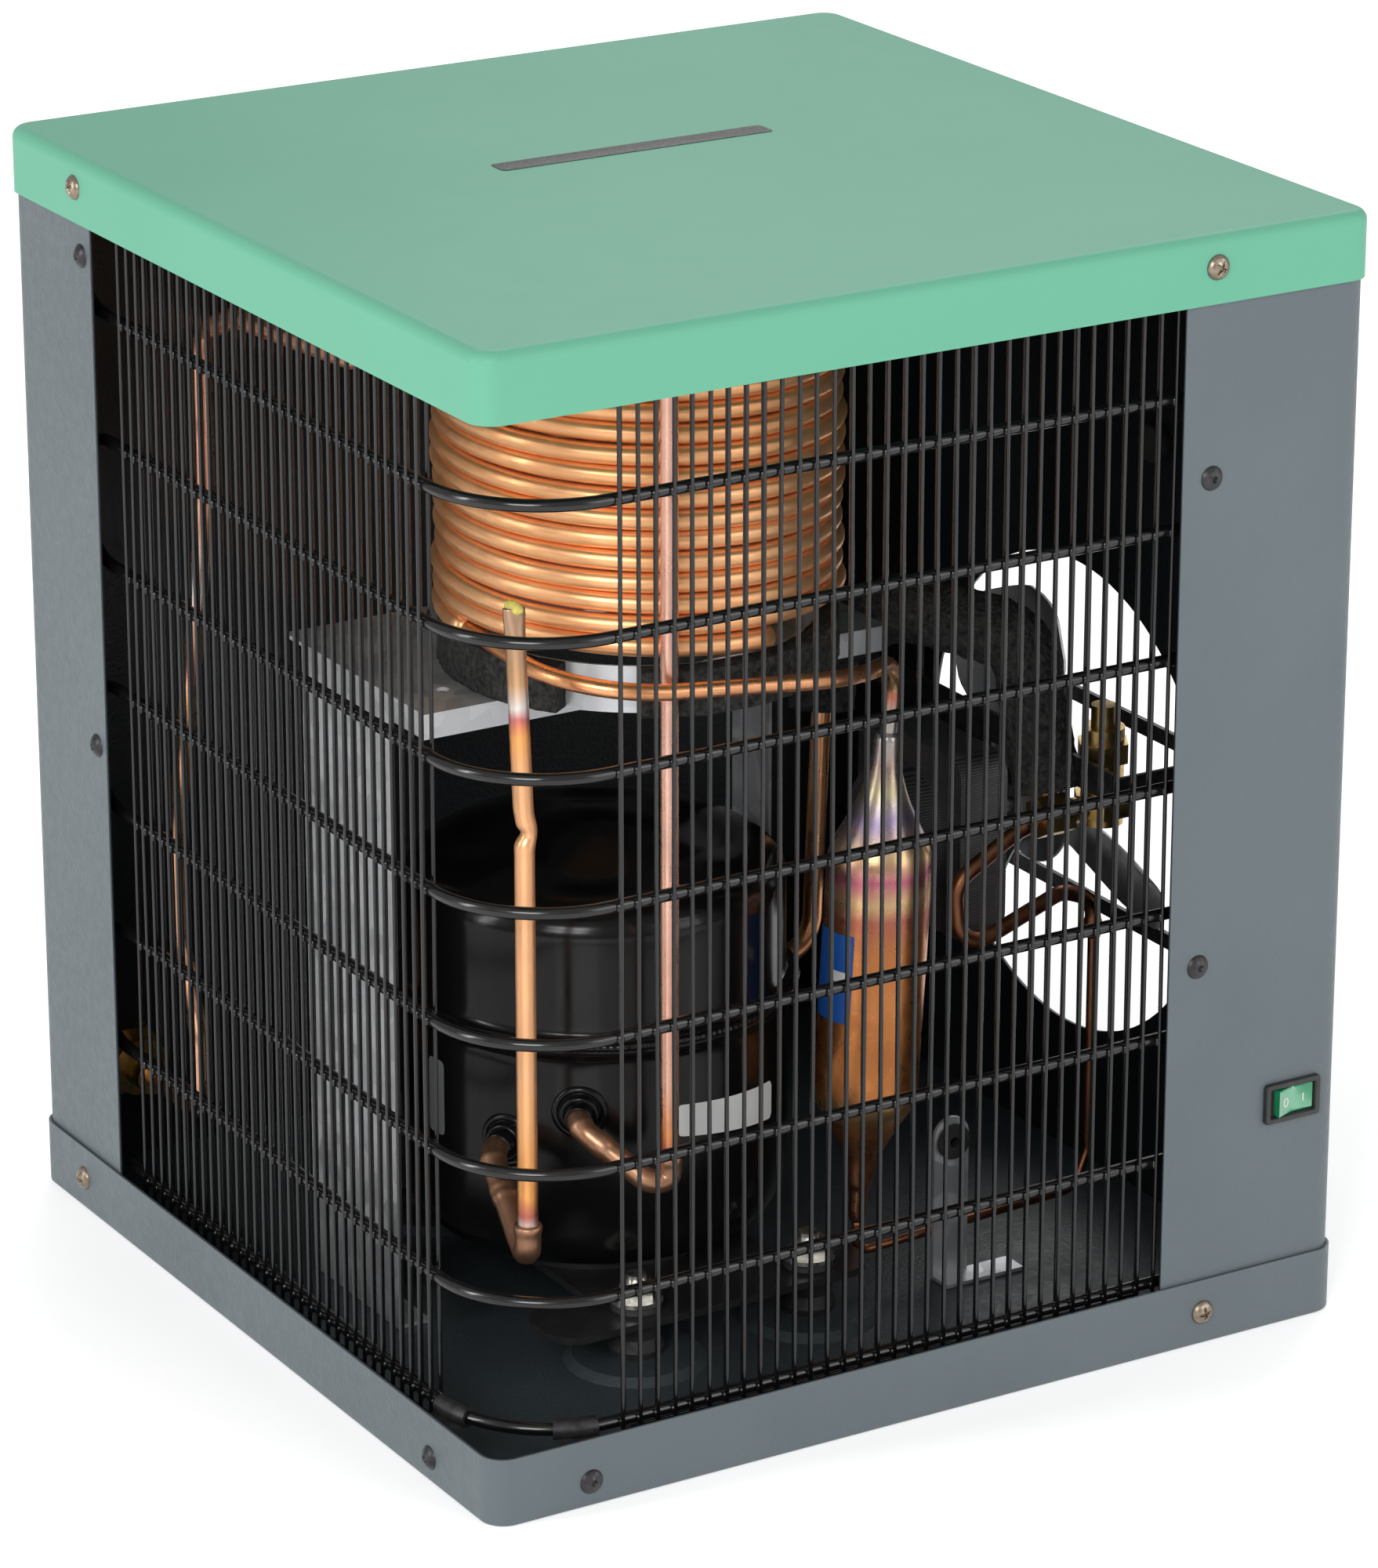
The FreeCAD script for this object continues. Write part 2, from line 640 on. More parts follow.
def compressor_base():
    half_x, reach_y = 72.0, 97.0
    z0, z1 = FOOT_PLATE_Z, FOOT_PLATE_Z + FOOT_PLATE
    front = rounded_block(-half_x, half_x, -reach_y, -reach_y + 34, z0, z1, 14)
    rear = rounded_block(-half_x, half_x, reach_y - 34, reach_y, z0, z1, 14)
    middle = box(-42, 42, -reach_y + 20, reach_y - 20, z0, z1)
    seat = revolved([(34, z1 - 0.5), (52, z1 - 0.5), (52, SHELL_BOTTOM), (34, SHELL_BOTTOM)])
    plate = in_shell(fuse([front, rear, middle, seat]))
    return plate.cut([cylinder(7.5, V(x, y, z0 - 1), UP, 6) for x, y in foot_places()])


def foot_grommets():
    neck, lip = 7.3, 10.0
    top = FOOT_PLATE_Z + FOOT_PLATE
    r = GROMMET_RADIUS
    under = FOOT_PLATE_Z - 0.1
    outline = [(5.2, PAD_TOP), (r - 1, PAD_TOP), (r, PAD_TOP + 3), (r - 2, 12.0)]
    outline += [(r, under), (neck, under), (neck, top + 0.1), (lip, top + 0.1)]
    outline += [(lip - 1, top + 3.0), (5.2, top + 3.0)]
    return Part.makeCompound([revolved(outline, V(x, y, 0)) for x, y in foot_places()])


def foot_bolts():
    """Studs with sleeves, washers and nuts that hold the compressor down through its grommets."""
    bolts = []
    washer_z = FOOT_PLATE_Z + FOOT_PLATE + 3.1
    for x, y in foot_places():
        sleeve = cylinder(5.0, V(x, y, PAD_TOP), UP, washer_z - PAD_TOP)
        washer = cylinder(10.5, V(x, y, washer_z), UP, 1.6)
        nut = hexagon_prism(12.7, V(x, y, washer_z + 1.6), UP, 6.5)
        stud = cylinder(FOOT_BOLT, V(x, y, PAD_TOP), UP, washer_z + 11.0 - PAD_TOP)
        bolts.append(fuse([sleeve, washer, nut, stud]))
    return Part.makeCompound(bolts)


def hermetic_terminal():
    out = shell_direction(TERMINAL_ANGLE)
    start = on_shell(TERMINAL_ANGLE, SHELL_RADIUS - 4.0, TERMINAL_Z)
    terminal = cylinder(TERMINAL_RADIUS - 0.05, start, out, 3.5)
    side = V(-out.y, out.x, 0)
    pins = []
    for i in range(3):
        a = math.radians(90 + 120 * i)
        offset = side * (6 * math.cos(a)) + UP * (6 * math.sin(a))
        pins.append(cylinder(1.2, start - out * 6 + offset, out, 18))
    return terminal.multiFuse(pins)


def terminal_box(depth0, depth1, half_width, z0, z1):
    block = box(depth0, depth1, -half_width, half_width, z0, z1)
    block.rotate(V(0, 0, 0), UP, TERMINAL_ANGLE)
    return in_shell(block)


def terminal_cover():
    outer = terminal_box(SHELL_RADIUS - 12, 104, 27, 58, 112)
    inner = terminal_box(SHELL_RADIUS - 13, 102, 25, 60, 110)
    shell = in_shell(cylinder(SHELL_RADIUS + 0.2, V(0, 0, 40), UP, 84))
    return outer.cut(inner).cut(shell)


# ---------------------------------------------------------------- pump and motor inside the shell
def crank_point():
    a = math.radians(CRANK_REST)
    return V(THROW * math.cos(a), THROW * math.sin(a), 0)


def wrist_x():
    pin = crank_point()
    return pin.x + math.sqrt(ROD_LENGTH**2 - pin.y**2)


def stator():
    half = STATOR_HALF
    core = rounded_block(-half, half, -half, half, STATOR_BOTTOM, STATOR_TOP, 13)
    core = core.cut(cylinder(ROTOR_RADIUS + AIR_GAP, V(0, 0, STATOR_BOTTOM - 1), UP, STATOR_TOP))
    return in_shell(core)


def stator_windings():
    rings = []
    for z0, z1 in ((STATOR_BOTTOM - 9.5, STATOR_BOTTOM - 0.2), (STATOR_TOP + 0.2, STATOR_TOP + 8.5)):
        outline = [(30, z0 + 1.5), (32, z0), (38, z0), (41, z0 + 2.5)]
        outline += [(41, z1 - 1), (40, z1), (31, z1), (30, z1 - 1)]
        rings.append(in_shell(revolved(outline)))
    return Part.makeCompound(rings)


def rotor():
    z0, z1 = STATOR_BOTTOM - 1.5, STATOR_TOP + 1.5
    body = cylinder(ROTOR_RADIUS, V(0, 0, z0), UP, z1 - z0)
    return in_shell(body.cut(cylinder(JOURNAL, V(0, 0, z0 - 1), UP, z1)))


def crankshaft():
    pin = crank_point()
    web_low, web_high = 118.5, 124.0
    journal = cylinder(JOURNAL, V(0, 0, 40.0), UP, web_low - 39.5)
    web = cylinder(12.5, V(0, 0, web_low), UP, web_high - web_low)
    boss = cylinder(9.0, V(pin.x, pin.y, web_low), UP, web_high - web_low)
    weight = cylinder(21.0, V(0, 0, web_low), UP, web_high - web_low)
    back = box(-30, -3, -17, 17, web_low - 1, web_high + 1)
    back.rotate(V(0, 0, 0), UP, CRANK_REST)
    throw_pin = cylinder(CRANK_PIN, V(pin.x, pin.y, web_high - 0.5), UP, 12.5)
    oil_pickup = revolved([(0, 31.5), (2.5, 31.5), (5.5, 36.0), (5.5, 40.5), (0, 40.5)])
    return in_shell(fuse([journal, web, boss, weight.common(back), throw_pin, oil_pickup]))


def cylinder_block():
    bearing_low, bearing_high = 84.0, 118.2
    bearing = cylinder(14.0, V(0, 0, bearing_low), UP, bearing_high - bearing_low)
    flange = rounded_block(-42, 42, -42, 42, 90.0, 97.0, 12)
    tower = box(BLOCK_START, BLOCK_END, -20, 20, 96.0, CYLINDER_Z + 18)
    legs = [
        cylinder(6.0, V(sx * SPRING_PLACE, sy * SPRING_PLACE, STATOR_TOP), UP, 13)
        for sx in (-1, 1)
        for sy in (-1, 1)
    ]
    ring_space = cylinder(43.3, V(0, 0, STATOR_TOP - 1), UP, 9.8)
    legs = [leg.cut(ring_space) for leg in legs]
    block = fuse([bearing, flange, tower] + legs)
    bore = cylinder(BORE_RADIUS + RUNNING_GAP, V(BLOCK_START - 1, 0, CYLINDER_Z), ALONG_X, BLOCK_END)
    shaft_bore = cylinder(JOURNAL + RUNNING_GAP, V(0, 0, 60), UP, 70)
    return in_shell(block.cut([bore, shaft_bore] + head_bolt_holes()))


def head_bolt_places():
    return [(sy * 15.0, CYLINDER_Z + sz * 14.0) for sy in (-1, 1) for sz in (-1, 1)]


def head_bolt_holes():
    return [cylinder(2.1, V(BLOCK_END - 12, y, z), ALONG_X, 40) for y, z in head_bolt_places()]


def piston():
    x = wrist_x()
    body = cylinder(BORE_RADIUS, V(x - 9.5, 0, CYLINDER_Z), ALONG_X, 20.0)
    hollow = cylinder(9.2, V(x - 10, 0, CYLINDER_Z), ALONG_X, 17.0)
    pin_bore = cylinder(WRIST_PIN, V(x, 0, CYLINDER_Z - 20), UP, 40)
    return in_shell(body.cut([hollow, pin_bore]))


def wrist_pin():
    return in_shell(cylinder(WRIST_PIN, V(wrist_x(), 0, CYLINDER_Z - 10.8), UP, 21.6))


def connecting_rod():
    pin = crank_point()
    small = V(wrist_x(), 0, 0)
    low, height = CYLINDER_Z - 4.3, 8.6
    big_end = cylinder(10.0, V(pin.x, pin.y, low), UP, height)
    small_end = cylinder(6.6, V(small.x, small.y, low), UP, height)
    side = (small - V(pin.x, pin.y, 0)).normalize().cross(UP) * 3.2
    corners = [V(pin.x, pin.y, low + 1) + side, small + V(0, 0, low + 1) + side]
    corners += [small + V(0, 0, low + 1) - side, V(pin.x, pin.y, low + 1) - side]
    shank = Part.Face(Part.makePolygon(corners + [corners[0]])).extrude(V(0, 0, height - 2))
    bores = [
        cylinder(CRANK_PIN + OPEN_PIVOT_GAP, V(pin.x, pin.y, low - 1), UP, height + 2),
        cylinder(WRIST_PIN + RUNNING_GAP, V(small.x, small.y, low - 1), UP, height + 2),
    ]
    return in_shell(fuse([big_end, small_end, shank]).cut(bores))


def head_slab(x0, x1, z_margin):
    return box(x0, x1, -20, 20, CYLINDER_Z - z_margin, CYLINDER_Z + z_margin)


def valve_plate():
    plate = head_slab(BLOCK_END, BLOCK_END + PLATE_THICKNESS, 18)
    ports = [cylinder(2.4, V(BLOCK_END - 1, y, CYLINDER_Z), ALONG_X, 6) for y in (-5.5, 5.5)]
    return in_shell(plate.cut(ports + head_bolt_holes()))


def cylinder_head():
    start = BLOCK_END + PLATE_THICKNESS
    head = head_slab(start, HEAD_END, 18)
    chambers = []
    for y0, y1 in ((-11.5, -1), (1, 11.5)):
        chambers.append(box(start - 1, HEAD_END - 2.5, y0, y1, CYLINDER_Z - 9, CYLINDER_Z + 9))
    return in_shell(head.cut(chambers + head_bolt_holes()))


def head_bolts():
    bolts = []
    for y, z in head_bolt_places():
        shank = cylinder(2.0, V(BLOCK_END - 10, y, z), ALONG_X, HEAD_END - BLOCK_END + 10)
        bolts.append(in_shell(shank.fuse(hexagon_prism(7.0, V(HEAD_END, y, z), ALONG_X, 3.0))))
    return Part.makeCompound(bolts)


def suction_muffler():
    body = rounded_block(4, 44, 22, 50, 104, 138, 7)
    spout = cylinder(4.0, V(44, 30, 126), ALONG_X, 12)
    elbow = cylinder(4.0, V(52, 18, 126), ALONG_Y, 14)
    cut_head = box(BLOCK_START, HEAD_END, -20, 20.2, 90, 150)
    return in_shell(fuse([body, spout, elbow]).cut(cut_head))


def shock_loop():
    points = [(60, -20.2, 126), (60, -30, 126), (50, -42, 106), (22, -63, 103), (-18, -66, 104)]
    points.append((68.5 * math.cos(math.radians(-118)), 68.5 * math.sin(math.radians(-118)), 104))
    points.append((72.0 * math.cos(math.radians(-124)), 72.0 * math.sin(math.radians(-124)), 104))
    return in_shell(bent_tube(points, 1.6, 8))


def suspension_springs():
    springs = []
    bottom = SHELL_BOTTOM + SHELL_WALL + 1.9
    top = STATOR_BOTTOM - 1.6
    turns = 3.0
    for sx in (-1, 1):
        for sy in (-1, 1):
            centre = V(COMP_X + sx * SPRING_PLACE, COMP_Y + sy * SPRING_PLACE, bottom)
            springs.append(helix_tube(5.4, 1.3, (top - bottom) / turns, turns, centre, 0, False))
    return Part.makeCompound(springs)


# ---------------------------------------------------------------- copper and brass lines


def process_tube():
    start = on_shell(PROCESS_ANGLE, SHELL_RADIUS - 3, PROCESS_Z)
    near = on_shell(PROCESS_ANGLE, SHELL_RADIUS + 14, PROCESS_Z)
    x, y = PROCESS_PLACE
    points = [tuple(start), tuple(near), (x + 3, y + 12, 66.0), (x, y, 62.0), (x, y, 322.0)]
    return bent_tube(points, PROCESS_TUBE, 11)


def discharge_tube():
    start = on_shell(DISCHARGE_ANGLE, SHELL_RADIUS - 3, DISCHARGE_Z)
    near = on_shell(DISCHARGE_ANGLE, SHELL_RADIUS + 13, DISCHARGE_Z)
    x, y = DISCHARGE_PLACE
    points = [tuple(start), tuple(near), (x - 8, y + 2, 80.0), (x, y, 80.0)]
    points += [(x, y, 425.0), (x - 40, y - 45, 428.0)]
    return bent_tube(points, DISCHARGE_TUBE, 10)


def suction_points():
    start = on_shell(SUCTION_ANGLE, SHELL_RADIUS - 3, SUCTION_Z)
    near = on_shell(SUCTION_ANGLE, SHELL_RADIUS + 46, SUCTION_Z)
    bends = [(88, 30, 232), (98, -12, 256), (126, -56, 250), (128, -71, 198), (128, -74, 186)]
    return [tuple(start), tuple(near)] + bends


def suction_line():
    return bent_tube(suction_points(), 4.0, 16)


def foam_wrapped_line():
    points = suction_points()[1:6]
    way = (V(*points[1]) - V(*points[0])).normalize()
    start = V(*points[1]) - way * 28
    end = V(*points[3]) + (V(*points[4]) - V(*points[3])) * 0.5
    wrapped = [tuple(start)] + points[1:4] + [tuple(end)]
    return bent_tube(wrapped, 14.0, 16).cut(bent_tube(suction_points(), 4.2, 16))


def bypass_valve():
    """Brass valve with a hexagon collar and cap, and the tee that the suction line enters."""
    x, y = 150.0, -78.0
    body = cylinder(8.5, V(x, y, 176), UP, 40)
    collar = hexagon_prism(21.0, V(x, y, 180), UP, 9)
    upper = hexagon_prism(19.0, V(x, y, 202), UP, 8)
    stem = cylinder(5.0, V(x, y, 216), UP, 9)
    arm = rod(V(x, y, 183), V(124, -78, 183), 5.2)
    tee = hexagon_prism(15.0, V(119, -78, 183), ALONG_X, 14)
    return fuse([body, collar, upper, stem, arm, tee]).cut(bent_tube(suction_points(), 4.15, 16))


def filter_drier():
    length = (DRIER_HEAD - DRIER_FOOT).Length
    r, n = DRIER_RADIUS, DRIER_NECK
    outline = [(0, 0), (n - 1, 0), (n - 1, 14), (n + 1, 16), (n + 2, 26)]
    outline += [(r - 4, 46), (r, 53), (r, 154), (r - 3, 160)]
    outline += [(n + 5, 176), (n + 1.5, 186), (n + 0.6, length), (0, length)]
    return revolved(outline, DRIER_FOOT, DRIER_HEAD - DRIER_FOOT)


def liquid_line():
    """Leaves the lower end of the first coil tube along its tangent and ends in the drier's neck."""
    left = COIL_X - COIL_RADIUS
    points = [
        (left, COIL_Y, coil_a_bottom()),
        (left, -113, 283.6),
        (12, -113, 270.5),
        (49, -84, 263),
        (48.3, -80, 232),
    ]
    return bent_tube(points, 3.2, 62)


def expansion_line():
    """Thin line from the drier along the floor and up into the wider loop that ends in the brass tee."""
    foot = DRIER_FOOT
    thin = [tuple(foot), (foot.x - 0.8, foot.y, 17.0), (140, -79, 21.0)]
    thin += [(147, -78, 36.0), (147, -78, 128.5)]
    loop = [
        (147, -78, 128),
        (147, -78, 144),
        (132, -78, 150),
        (84, -78, 133),
        (81, -78, 163),
        (104, -78, 176),
        (119, -78, 183),
    ]
    return bent_tube(thin, 1.9, 9).fuse(bent_tube(loop, 3.2, 12))


def coil_a_bottom():
    return COIL_BOTTOM + COIL_TUBE


def coil_b_bottom():
    """The second tube starts part of a turn further up and runs half a pitch below the first."""
    behind = (COIL_A_START - COIL_B_START) / 360
    return coil_a_bottom() + COIL_PITCH * (behind - 0.5)


def heat_exchanger_coil(turns, start_angle, bottom):
    """One of two copper tubes wound side by side, both clockwise going up."""
    centre = V(COIL_X, COIL_Y, bottom)
    return helix_tube(COIL_RADIUS, COIL_TUBE, COIL_PITCH, turns, centre, start_angle, True)


def coil_top(turns, start_angle, bottom, ahead=0.0):
    """Where a coil's upper end is, or a point straight ahead of it."""
    a = math.radians(start_angle - 360 * turns)
    x = COIL_X + COIL_RADIUS * math.cos(a) + ahead * math.sin(a)
    y = COIL_Y + COIL_RADIUS * math.sin(a) - ahead * math.cos(a)
    rise = COIL_PITCH * (turns + ahead / (2 * math.pi * COIL_RADIUS))
    return (x, y, bottom + rise)


def foam_pad():
    """Foam strip bent round the cradle under the coil, open at the front between two cut ends."""
    outline = [(PAD_INNER, SHELF_TOP + 0.2), (PAD_OUTER, SHELF_TOP + 0.2), (PAD_OUTER, COIL_BOTTOM - 0.5)]
    outline.append((PAD_INNER, COIL_BOTTOM - 0.5))
    pad = revolved(outline)
    cut_start, cut_end = [math.radians(a) for a in PAD_CUTS]
    reach = 2 * PAD_OUTER
    wedge = [(0, 0, 0), (reach * math.cos(cut_start), reach * math.sin(cut_start), 0)]
    wedge.append((reach * math.cos(cut_end), reach * math.sin(cut_end), 0))
    gap = polygon_prism(wedge, V(0, 0, COIL_BOTTOM + 10))
    pad = pad.cut(gap)
    pad.translate(V(COIL_X, COIL_Y, 0))
    return pad


def left_copper_line():
    points = [
        coil_top(COIL_A_TURNS, COIL_A_START, coil_a_bottom()),
        coil_top(COIL_A_TURNS, COIL_A_START, coil_a_bottom(), 40),
        (-138, -68, 410),
        (-150, -20, 396),
        (-150, 74, 389),
        (-150, 103, 376),
        (-150, 103, 312),
        (-150, 114, 255),
        (-150, 138, 158),
        (-150, 136, 112),
        (-150, 121, 76),
        (INLET_PLACE[0], 117, INLET_PLACE[1]),
        (INLET_PLACE[0], 170, INLET_PLACE[1]),
    ]
    return bent_tube(points, COIL_TUBE, 16)


def air_outlet_line():
    points = [
        coil_top(COIL_B_TURNS, COIL_B_START, coil_b_bottom()),
        coil_top(COIL_B_TURNS, COIL_B_START, coil_b_bottom(), 60),
        (OUTLET_PLACE[0] - 12, 100, OUTLET_PLACE[1] + 6),
        (OUTLET_PLACE[0], 140, OUTLET_PLACE[1]),
        (OUTLET_PLACE[0], 170, OUTLET_PLACE[1]),
    ]
    return bent_tube(points, COIL_TUBE, 16)


# ---------------------------------------------------------------- brackets and shelf
def coil_shelf():
    """Galvanised shelf on a broad left leg and a narrow right one, with a ring that centres the coil."""
    z1 = SHELF_TOP
    z0 = z1 - SHELF_THICKNESS
    x0, x1, y0, y1 = SHELF_LEFT, SHELF_RIGHT, SHELF_FRONT, SHELF_BACK
    leg_y0, leg_y1 = -22, 48
    foot_top = PANEL_BOTTOM + SHELF_THICKNESS
    plate = box(x0, x1, y0, y1, z0, z1)
    front_lip = box(x0, x1, y0, y0 + SHELF_THICKNESS, z1 - 10, z1)
    left_lip = box(x0, x0 + SHELF_THICKNESS, y0, leg_y1, z1 - 10, z1)
    left_leg = box(x0, x0 + SHELF_THICKNESS, leg_y0, leg_y1, PANEL_BOTTOM, z1)
    left_foot = box(x0, x0 + 14, leg_y0, leg_y1, PANEL_BOTTOM, foot_top)
    right_leg = box(x1 - SHELF_THICKNESS, x1, 34, y1, PANEL_BOTTOM, z1)
    right_foot = box(x1 - 14, x1, 34, y1, PANEL_BOTTOM, foot_top)
    inner, outer, ring_top = CRADLE_RADIUS - CRADLE_WALL, CRADLE_RADIUS, COIL_BOTTOM - 0.5
    ring_outline = [(inner, z1 - 0.5), (outer, z1 - 0.5), (outer, ring_top), (inner, ring_top)]
    cradle = revolved(ring_outline, V(COIL_X, COIL_Y, 0))
    shelf = fuse([plate, front_lip, left_lip, left_leg, left_foot, right_leg, right_foot, cradle])
    fixing_hole = cylinder(2.6, V(-118, -28, z0 - 1), UP, 4)
    air_hole = cylinder(40, V(COIL_X, COIL_Y + 16, z0 - 1), UP, 4)
    return shelf.cut([fixing_hole, air_hole])


def line_bracket():
    z0 = PANEL_BOTTOM
    foot = box(66, 102, -100, -88, z0, z0 + 1.5)
    upright = box(66, 82, -89.5, -88, z0, 62)
    head = cylinder(8, V(74, -89.5, 62), ALONG_Y, 1.5)
    bracket = fuse([foot, upright, head])
    return bracket.cut(cylinder(4.5, V(74, -92, 60), ALONG_Y, 6))


def bracket_grommet():
    outline = [(2.2, 0), (7.2, 0), (7.2, 1.6), (4.3, 1.9)]
    outline += [(4.3, 4.1), (7.2, 4.4), (7.2, 6), (2.2, 6)]
    ring = revolved(outline)
    ring.Placement = FreeCAD.Placement(V(74, -91.75, 60), FreeCAD.Rotation(UP, ALONG_Y))
    return ring


# ---------------------------------------------------------------- ports on the rear panel


def air_ports():
    """Half-inch bulkhead bushes: hexagon outside the panel, locknut inside, bored from outside."""
    ports = []
    for x, z in (INLET_PLACE, OUTLET_PLACE):
        neck = cylinder(PORT_NECK, V(x, PANEL_OUTER - 16, z), ALONG_Y, 17)
        outside = hexagon_prism(28.0, V(x, PANEL_OUTER + 0.05, z), ALONG_Y, 12)
        locknut = hexagon_prism(28.0, V(x, PANEL_INNER - 6.05, z), ALONG_Y, 6)
        tail = cylinder(7.5, V(x, 160, z), ALONG_Y, PANEL_OUTER - 16 - 160 + 0.5)
        port = fuse([neck, outside, locknut, tail])
        bore = cylinder(PORT_BORE, V(x, PANEL_OUTER + 12.05 - PORT_LENGTH, z), ALONG_Y, PORT_LENGTH)
        socket = cylinder(COIL_TUBE + 0.05, V(x, 159, z), ALONG_Y, 11.05)
        ports.append(port.cut([bore, socket]))
    return Part.makeCompound(ports)


def condensate_drain():
    x, z = DRAIN_PLACE
    neck = cylinder(DRAIN_NECK, V(x, PANEL_INNER - 10, z), ALONG_Y, 14)
    locknut = hexagon_prism(16.0, V(x, PANEL_INNER - 5.05, z), ALONG_Y, 5)
    outside = hexagon_prism(14.0, V(x, PANEL_OUTER + 0.05, z), ALONG_Y, 6)
    barb = cylinder(BARB_RADIUS, V(x, PANEL_OUTER + 6, z), ALONG_Y, 18)
    drain = fuse([neck, locknut, outside, barb])
    return drain.cut(cylinder(1.8, V(x, PANEL_INNER - 11, z), ALONG_Y, 50))


# ---------------------------------------------------------------- fan
def fan_blades():
    blades = []
    for i in range(FAN_BLADES):
        inner = box(-BLADE_THICKNESS / 2, BLADE_THICKNESS / 2, 14, 58, -13, 13)
        half = BLADE_THICKNESS / 2
        paddle = box(-half, half, 34, FAN_RADIUS, -BLADE_CHORD / 2, BLADE_CHORD / 2)
        corners = [e for e in paddle.Edges if abs(e.tangentAt(e.FirstParameter).x) > 0.99]
        paddle = paddle.makeFillet(14, corners)
        blade = inner.fuse(paddle).common(cylinder(FAN_RADIUS, V(-30, 0, 0), ALONG_X, 60))
        blade.rotate(V(0, 0, 0), ALONG_Y, BLADE_PITCH)
        blade.rotate(V(0, 0, 0), ALONG_X, FIRST_BLADE + 360.0 * i / FAN_BLADES)
        blades.append(blade)
    disc = cylinder(HUB_RADIUS, V(-1, 0, 0), ALONG_X, 2.0)
    sleeve = cylinder(8.0, V(-10, 0, 0), ALONG_X, 16.0)
    shaft = cylinder(FAN_SHAFT, V(-60, 0, 0), ALONG_X, 70.0)
    fan = fuse([disc, sleeve, shaft] + blades)
    fan.translate(V(FAN_PLANE, 0, FAN_HEIGHT))
    return fan


def fan_motor():
    length = MOTOR_FRONT - MOTOR_BACK
    core = rounded_block(-MOTOR_RADIUS, MOTOR_RADIUS, -MOTOR_RADIUS, MOTOR_RADIUS, 12, 34, 9)
    core.rotate(V(0, 0, 0), ALONG_Y, 90)
    core.translate(V(MOTOR_BACK, 0, FAN_HEIGHT))
    can = cylinder(26.0, V(MOTOR_BACK, 0, FAN_HEIGHT), ALONG_X, length - 6)
    nose = cylinder(12.0, V(MOTOR_BACK + 30, 0, FAN_HEIGHT), ALONG_X, length - 30)
    bore = cylinder(FAN_SHAFT + 0.05, V(FAN_PLANE - 61, 0, FAN_HEIGHT), ALONG_X, 70)
    return fuse([core, can, nose]).cut(bore)


def fan_bracket():
    """Straps across the fan opening; posts from the upper one carry the motor."""
    x1 = STRAP_X
    x0 = x1 - STRAP
    end = POST_Y + 14
    straps = [
        box(x0, x1, -end, end, z - STRAP_HALF_HEIGHT, z + STRAP_HALF_HEIGHT)
        for z in (UPPER_STRAP_Z, LOWER_STRAP_Z)
    ]
    rail_x = MOTOR_BACK + 35.2
    posts = []
    for y in (-POST_Y, POST_Y):
        posts.append(rod(V(rail_x, y, UPPER_STRAP_Z), V(x0 + 0.5, y, UPPER_STRAP_Z), 3.0))
    rail = box(rail_x, rail_x + STRAP, -POST_Y - 3, POST_Y + 3, UPPER_STRAP_Z - 6, UPPER_STRAP_Z + 6)
    hanger = box(rail_x, rail_x + STRAP, -24, 24, FAN_HEIGHT - 24, UPPER_STRAP_Z)
    web = fuse([rail, hanger]).cut(cylinder(26.6, V(rail_x - 1, 0, FAN_HEIGHT), ALONG_X, 4))
    holes = []
    for y in (-POST_Y - 8, POST_Y + 8):
        for z in (UPPER_STRAP_Z, LOWER_STRAP_Z):
            holes.append(cylinder(2.1, V(x0 - 1, y, z), ALONG_X, 6))
    lower = []
    for y in (-POST_Y - 1, POST_Y + 1):
        lower.append(rod(V(x0, y, LOWER_STRAP_Z), V(x0 + 0.5, y, UPPER_STRAP_Z), 1.0))
    return fuse(straps + posts + [web] + lower).cut(holes)


# ---------------------------------------------------------------- mains cord
def cord_strain_relief():
    """Moulded bush: a collar each side of the panel and a tapered sleeve outside."""
    outline = [(CORD_RADIUS, -8), (7.5, -8), (7.5, -1.3), (6.0, -1.3)]
    outline += [(6.0, 0.1), (9.0, 0.1), (9.0, 3.0)]
    outline += [(7.2, 5.0), (5.2, 25.5), (CORD_RADIUS, 25.5)]
    return revolved(outline, V(PANEL_OUTER, CORD_EXIT.y, CORD_EXIT.z), ALONG_X)


def power_cord():
    path, radii = rounded_path(CORD_ROUTE)
    tube = bent_tube(CORD_ROUTE, CORD_RADIUS)
    print("cord arc radii", [round(r, 1) for r in radii])
    print("cord volume check", round(tube.Volume / (math.pi * CORD_RADIUS**2 * path.Length), 4))
    coil_middle = (CORD_COIL_INNER + CORD_COIL_OUTER) / 2
    turns = (CORD_LENGTH - path.Length) / (2 * math.pi * coil_middle)
    print("tube length", round(path.Length), "turns left", round(turns, 2))
    inside = rod(V(PANEL_INNER - 7.0, CORD_EXIT.y, CORD_EXIT.z), CORD_EXIT, CORD_RADIUS)
    return tube.fuse(inside)


def power_cord_coil():
    x, y = CORD_COIL_CENTRE
    outline = [(CORD_COIL_INNER, 0), (CORD_COIL_OUTER, 0), (CORD_COIL_OUTER, CORD_COIL_HEIGHT)]
    outline.append((CORD_COIL_INNER, CORD_COIL_HEIGHT))
    return revolved(outline, V(x, y, 0))


